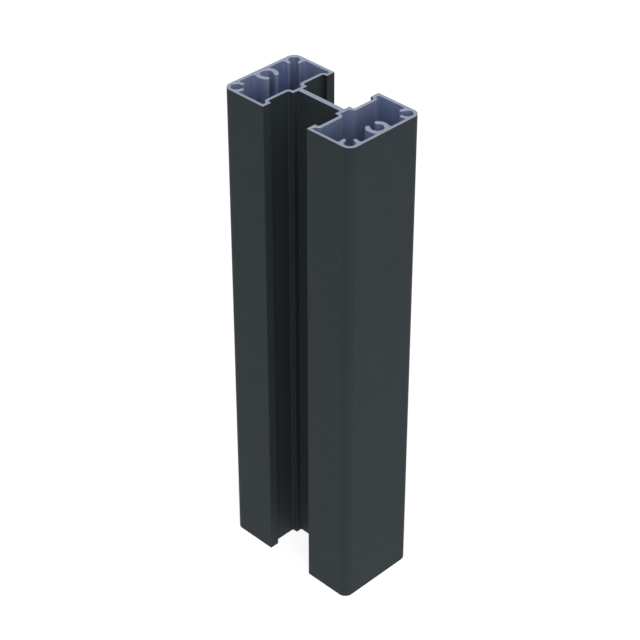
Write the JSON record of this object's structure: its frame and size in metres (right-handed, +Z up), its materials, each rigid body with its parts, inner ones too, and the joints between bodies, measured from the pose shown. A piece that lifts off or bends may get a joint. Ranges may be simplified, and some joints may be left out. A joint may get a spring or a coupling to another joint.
{
  "type": "fence post",
  "caption": "Extruded aluminium fence post, H-shaped in section: two hollow chambers joined by a web, a panel groove on each side and screw ports open at both cut ends.",
  "frame": {"origin": "middle of the lower cut end", "axes": "+Z up the post, X through the fence over both chambers, Y along the fence, out of the panel grooves"},
  "size_m": [0.09, 0.051, 0.293],
  "materials": {
    "coated_aluminium": "satin"
  },
  "bodies": {
    "root": {"post_extrusion": "coated_aluminium"}
  },
  "joints": []
}
